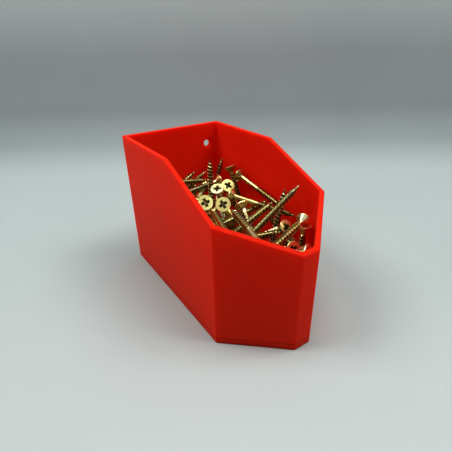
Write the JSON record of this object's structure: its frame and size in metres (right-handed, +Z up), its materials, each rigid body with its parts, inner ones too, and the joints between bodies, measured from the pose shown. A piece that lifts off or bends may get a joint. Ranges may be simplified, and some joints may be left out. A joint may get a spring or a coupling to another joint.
{
  "type": "storage bin",
  "caption": "Open storage bin with a pointed nose and a rim that slopes down to it, screw holes in the back wall, holding a heap of loose countersunk wood screws.",
  "frame": {"origin": "middle of the base, on the surface it stands on", "axes": "+Z up, +Y to the back wall that hangs on the wall, nose towards -Y, +X to the right seen from the nose"},
  "size_m": [0.064, 0.12, 0.08],
  "materials": {
    "red_plastic": "satin printed plastic with faint layer lines",
    "yellow_zinc_steel": "yellow zinc plated steel"
  },
  "bodies": {
    "bin": {"bin_body": "red_plastic"},
    "screw_heap": {"bottom_row_screws": "yellow_zinc_steel", "second_row_screws": "yellow_zinc_steel", "third_row_screws": "yellow_zinc_steel", "lower_strewn_screws": "yellow_zinc_steel", "back_strewn_screws": "yellow_zinc_steel", "right_strewn_screws": "yellow_zinc_steel", "front_strewn_screws": "yellow_zinc_steel", "left_strewn_screws": "yellow_zinc_steel", "nose_wall_screw": "yellow_zinc_steel", "upright_screw": "yellow_zinc_steel", "back_corner_screw": "yellow_zinc_steel", "steep_screw": "yellow_zinc_steel", "head_up_screw": "yellow_zinc_steel", "nose_screw": "yellow_zinc_steel", "ring_head_screw": "yellow_zinc_steel", "inner_face_screw": "yellow_zinc_steel", "tilted_face_screw": "yellow_zinc_steel", "right_face_screw": "yellow_zinc_steel", "front_face_screw": "yellow_zinc_steel", "middle_screw": "yellow_zinc_steel", "middle_point_screw": "yellow_zinc_steel", "left_point_screw": "yellow_zinc_steel", "lower_side_screw": "yellow_zinc_steel", "crossing_screw": "yellow_zinc_steel", "long_crossing_screw": "yellow_zinc_steel"},
    "picked_left_face": {"left_face_screw": "yellow_zinc_steel"},
    "picked_long_shank": {"long_shank_screw": "yellow_zinc_steel"},
    "picked_upper_side": {"upper_side_screw": "yellow_zinc_steel"}
  },
  "joints": [
    {"name": "heap_lift", "type": "slide", "parent": "bin", "child": "screw_heap", "axis": [0, 0, 1], "range_m": [0, 0.085]},
    {"name": "left_face_pick", "type": "slide", "parent": "screw_heap", "child": "picked_left_face", "axis": [-0.3981, -0.7488, 0.5299], "range_m": [0, 0.095]},
    {"name": "long_shank_pick", "type": "slide", "parent": "screw_heap", "child": "picked_long_shank", "axis": [0, 0, 1], "range_m": [0, 0.06]},
    {"name": "upper_side_pick", "type": "slide", "parent": "screw_heap", "child": "picked_upper_side", "axis": [0, 0, 1], "range_m": [0, 0.06]}
  ]
}
